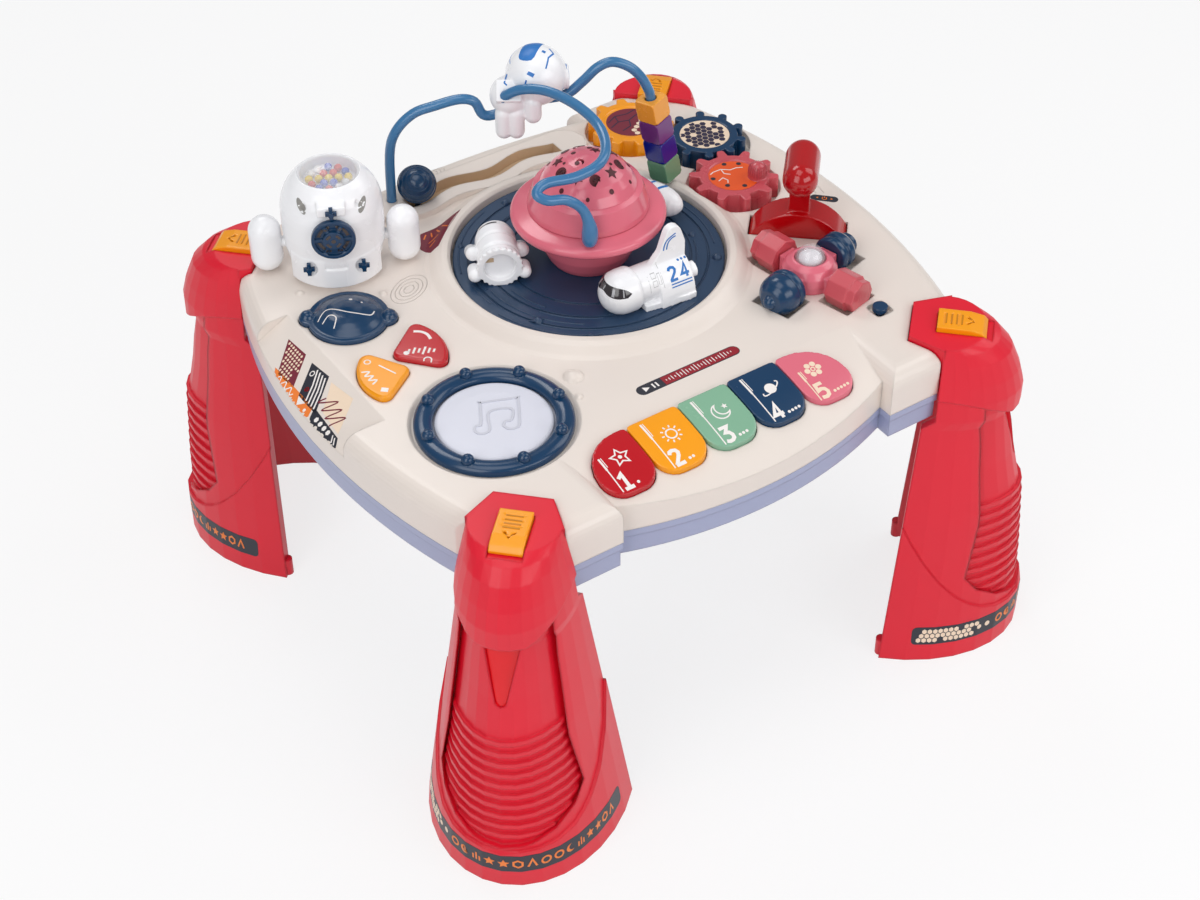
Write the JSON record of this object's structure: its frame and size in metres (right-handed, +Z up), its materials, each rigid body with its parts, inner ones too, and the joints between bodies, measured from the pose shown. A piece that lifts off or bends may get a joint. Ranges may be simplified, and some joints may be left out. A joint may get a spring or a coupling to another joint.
{
  "type": "musical activity table",
  "caption": "Toddler activity table on plug-in legs: bowed case with spinning turntable and lamp, keys, drum pad, meshing gears, rocking lever, spinner, capsule and bead maze.",
  "frame": {"origin": "on the floor, under the centre of the box round the four feet", "axes": "+Z up, -Y towards the side with the keys, +X to the player's right"},
  "size_m": [0.5046, 0.5046, 0.3935],
  "materials": {
    "cream_shell": "fine satin",
    "lavender_shell": "fine satin",
    "leg_red": "smooth moulded",
    "yellow": "smooth moulded",
    "navy": "smooth moulded",
    "slate": "satin",
    "white": "smooth moulded",
    "pink": "smooth moulded",
    "wire_blue": "smooth moulded",
    "pad_white": "soft satin",
    "deep_red": "smooth moulded",
    "key_red": "smooth moulded",
    "key_mint": "smooth moulded",
    "gear_orange": "smooth moulded",
    "gear_rose": "smooth moulded",
    "bead_green": "smooth moulded",
    "bead_blue": "smooth moulded",
    "bead_purple": "smooth moulded",
    "bead_orange": "smooth moulded",
    "clear": "clear polycarbonate",
    "rattle": "smooth moulded",
    "board_green": "smooth moulded",
    "lamp_board": "smooth moulded",
    "speaker_black": "smooth moulded",
    "cell": "smooth moulded",
    "steel": "zinc plated"
  },
  "bodies": {
    "case": {"top_shell": "cream_shell", "bottom_shell": "lavender_shell", "battery_door": "lavender_shell", "case_screws": "steel", "circuit_board": "board_green", "speaker": "speaker_black", "batteries": "cell", "lamp_base": "pink", "lamp_dome": "pink", "lamp_board": "lamp_board", "drum_ring": "navy", "capsule_shell": "white", "capsule_window": "clear", "capsule_pins": "navy", "rattle_balls": "rattle", "satellite_body": "pink", "satellite_dome": "clear", "lever_pin": "steel", "maze_wire_long": "wire_blue", "maze_wire_short": "wire_blue", "flying_astronaut": "white"},
    "leg_back_right": {"leg_back_right": "leg_red"},
    "latch_back_right": {"latch_back_right": "yellow"},
    "leg_back_left": {"leg_back_left": "leg_red"},
    "latch_back_left": {"latch_back_left": "yellow"},
    "leg_front_left": {"leg_front_left": "leg_red"},
    "latch_front_left": {"latch_front_left": "yellow"},
    "leg_front_right": {"leg_front_right": "leg_red"},
    "latch_front_right": {"latch_front_right": "yellow"},
    "turntable": {"turntable": "slate", "shuttle": "white", "space_station": "white", "rocket": "white"},
    "key_1": {"key_1": "key_red"},
    "key_2": {"key_2": "yellow"},
    "key_3": {"key_3": "key_mint"},
    "key_4": {"key_4": "navy"},
    "key_5": {"key_5": "pink"},
    "drum_pad": {"drum_pad": "pad_white"},
    "mode_button": {"mode_button": "deep_red"},
    "song_button": {"song_button": "yellow"},
    "planet_button": {"planet_button": "navy"},
    "power_button": {"power_button": "navy"},
    "gear_pink": {"gear_pink": "gear_rose"},
    "gear_blue": {"gear_blue": "navy"},
    "gear_yellow": {"gear_yellow": "gear_orange"},
    "lever": {"lever": "deep_red"},
    "roller_pink_left": {"roller_pink_left": "pink"},
    "roller_blue_back": {"roller_blue_back": "navy"},
    "roller_pink_right": {"roller_pink_right": "pink"},
    "roller_blue_front": {"roller_blue_front": "navy"},
    "capsule_wheel": {"capsule_wheel": "navy"},
    "pod_left": {"pod_left": "white"},
    "pod_right": {"pod_right": "white"},
    "slider_knob": {"slider_knob": "navy"},
    "bead_green": {"bead_green": "bead_green"},
    "bead_blue": {"bead_blue": "bead_blue"},
    "bead_purple": {"bead_purple": "bead_purple"},
    "bead_orange": {"bead_orange": "bead_orange"}
  },
  "joints": [
    {"name": "leg_back_right_pull", "type": "slide", "parent": "case", "child": "leg_back_right", "axis": [0.7071, 0.7071, 0], "range_m": [0, 0.03]},
    {"name": "latch_back_right_release", "type": "slide", "parent": "leg_back_right", "child": "latch_back_right", "axis": [0.7071, 0.7071, 0], "range_m": [0, 0.004], "stiffness_N_per_m": 300, "springref_m": -0.002},
    {"name": "leg_back_left_pull", "type": "slide", "parent": "case", "child": "leg_back_left", "axis": [-0.7071, 0.7071, 0], "range_m": [0, 0.03]},
    {"name": "latch_back_left_release", "type": "slide", "parent": "leg_back_left", "child": "latch_back_left", "axis": [-0.7071, 0.7071, 0], "range_m": [0, 0.004], "stiffness_N_per_m": 300, "springref_m": -0.002},
    {"name": "leg_front_left_pull", "type": "slide", "parent": "case", "child": "leg_front_left", "axis": [-0.7071, -0.7071, 0], "range_m": [0, 0.03]},
    {"name": "latch_front_left_release", "type": "slide", "parent": "leg_front_left", "child": "latch_front_left", "axis": [-0.7071, -0.7071, 0], "range_m": [0, 0.004], "stiffness_N_per_m": 300, "springref_m": -0.002},
    {"name": "leg_front_right_pull", "type": "slide", "parent": "case", "child": "leg_front_right", "axis": [0.7071, -0.7071, 0], "range_m": [0, 0.03]},
    {"name": "latch_front_right_release", "type": "slide", "parent": "leg_front_right", "child": "latch_front_right", "axis": [0.7071, -0.7071, 0], "range_m": [0, 0.004], "stiffness_N_per_m": 300, "springref_m": -0.002},
    {"name": "turntable_spin", "type": "hinge", "parent": "case", "child": "turntable", "pos_m": [0.018, 0.031, 0.266], "axis": [0, 0, 1], "continuous": true},
    {"name": "key_1_press", "type": "slide", "parent": "case", "child": "key_1", "axis": [0, 0, -1], "range_m": [0, 0.0025], "stiffness_N_per_m": 400, "springref_m": -0.002},
    {"name": "key_2_press", "type": "slide", "parent": "case", "child": "key_2", "axis": [0, 0, -1], "range_m": [0, 0.0025], "stiffness_N_per_m": 400, "springref_m": -0.002},
    {"name": "key_3_press", "type": "slide", "parent": "case", "child": "key_3", "axis": [0, 0, -1], "range_m": [0, 0.0025], "stiffness_N_per_m": 400, "springref_m": -0.002},
    {"name": "key_4_press", "type": "slide", "parent": "case", "child": "key_4", "axis": [0, 0, -1], "range_m": [0, 0.0025], "stiffness_N_per_m": 400, "springref_m": -0.002},
    {"name": "key_5_press", "type": "slide", "parent": "case", "child": "key_5", "axis": [0, 0, -1], "range_m": [0, 0.0025], "stiffness_N_per_m": 400, "springref_m": -0.002},
    {"name": "drum_pad_press", "type": "slide", "parent": "case", "child": "drum_pad", "axis": [0, 0, -1], "range_m": [0, 0.0025], "stiffness_N_per_m": 800, "springref_m": -0.002},
    {"name": "mode_button_press", "type": "slide", "parent": "case", "child": "mode_button", "axis": [0, 0, -1], "range_m": [0, 0.0025], "stiffness_N_per_m": 400, "springref_m": -0.002},
    {"name": "song_button_press", "type": "slide", "parent": "case", "child": "song_button", "axis": [0, 0, -1], "range_m": [0, 0.0025], "stiffness_N_per_m": 400, "springref_m": -0.002},
    {"name": "planet_button_press", "type": "slide", "parent": "case", "child": "planet_button", "axis": [0, 0, -1], "range_m": [0, 0.0025], "stiffness_N_per_m": 600, "springref_m": -0.002},
    {"name": "power_button_press", "type": "slide", "parent": "case", "child": "power_button", "axis": [0, 0, -1], "range_m": [0, 0.0025], "stiffness_N_per_m": 200, "springref_m": -0.001},
    {"name": "gear_pink_spin", "type": "hinge", "parent": "case", "child": "gear_pink", "pos_m": [0.16, 0.045, 0.266], "axis": [0, 0, 1], "continuous": true},
    {"name": "gear_blue_spin", "type": "hinge", "parent": "case", "child": "gear_blue", "pos_m": [0.17502, 0.10309, 0.266], "axis": [0, 0, 1], "continuous": true},
    {"name": "gear_yellow_spin", "type": "hinge", "parent": "case", "child": "gear_yellow", "pos_m": [0.13767, 0.15005, 0.266], "axis": [0, 0, 1], "continuous": true},
    {"name": "lever_rock", "type": "hinge", "parent": "case", "child": "lever", "pos_m": [0.166, -0.027, 0.246], "axis": [0.6691, 0.7431, 0], "range_deg": [-20, 20]},
    {"name": "roller_pink_left_spin", "type": "hinge", "parent": "case", "child": "roller_pink_left", "pos_m": [0.134, -0.081, 0.273], "axis": [-0.1736, 0.9848, 0], "continuous": true},
    {"name": "roller_blue_back_spin", "type": "hinge", "parent": "case", "child": "roller_blue_back", "pos_m": [0.134, -0.081, 0.273], "axis": [0.9677, 0.2521, 0], "continuous": true},
    {"name": "roller_pink_right_spin", "type": "hinge", "parent": "case", "child": "roller_pink_right", "pos_m": [0.134, -0.081, 0.273], "axis": [0.2419, -0.9703, 0], "continuous": true},
    {"name": "roller_blue_front_spin", "type": "hinge", "parent": "case", "child": "roller_blue_front", "pos_m": [0.134, -0.081, 0.273], "axis": [-0.9613, -0.2756, 0], "continuous": true},
    {"name": "capsule_wheel_spin", "type": "hinge", "parent": "case", "child": "capsule_wheel", "pos_m": [-0.15371, 0.09621, 0.3155], "axis": [-0.454, -0.891, 0], "continuous": true},
    {"name": "pod_left_spin", "type": "hinge", "parent": "case", "child": "pod_left", "pos_m": [-0.18119, 0.15152, 0.2891], "axis": [0.891, -0.454, 0], "continuous": true},
    {"name": "pod_right_spin", "type": "hinge", "parent": "case", "child": "pod_right", "pos_m": [-0.09281, 0.10648, 0.2891], "axis": [0.891, -0.454, 0], "continuous": true},
    {"name": "slider_travel", "type": "slide", "parent": "case", "child": "slider_knob", "axis": [1, 0, 0], "range_m": [0, 0.107]},
    {"name": "bead_green_slide", "type": "slide", "parent": "case", "child": "bead_green", "axis": [-0.156, 0.084, 0.9842], "range_m": [0, 0.0011]},
    {"name": "bead_blue_slide", "type": "slide", "parent": "bead_green", "child": "bead_blue", "axis": [-0.156, 0.084, 0.9842], "range_m": [0, 0.0011]},
    {"name": "bead_purple_slide", "type": "slide", "parent": "bead_blue", "child": "bead_purple", "axis": [-0.156, 0.084, 0.9842], "range_m": [0, 0.0011]},
    {"name": "bead_orange_slide", "type": "slide", "parent": "bead_purple", "child": "bead_orange", "axis": [-0.156, 0.084, 0.9842], "range_m": [0, 0.0011]}
  ],
  "couplings": [
    {"joint": "gear_blue_spin", "follows": "gear_pink_spin", "ratio": -1},
    {"joint": "gear_yellow_spin", "follows": "gear_pink_spin", "ratio": 1}
  ]
}
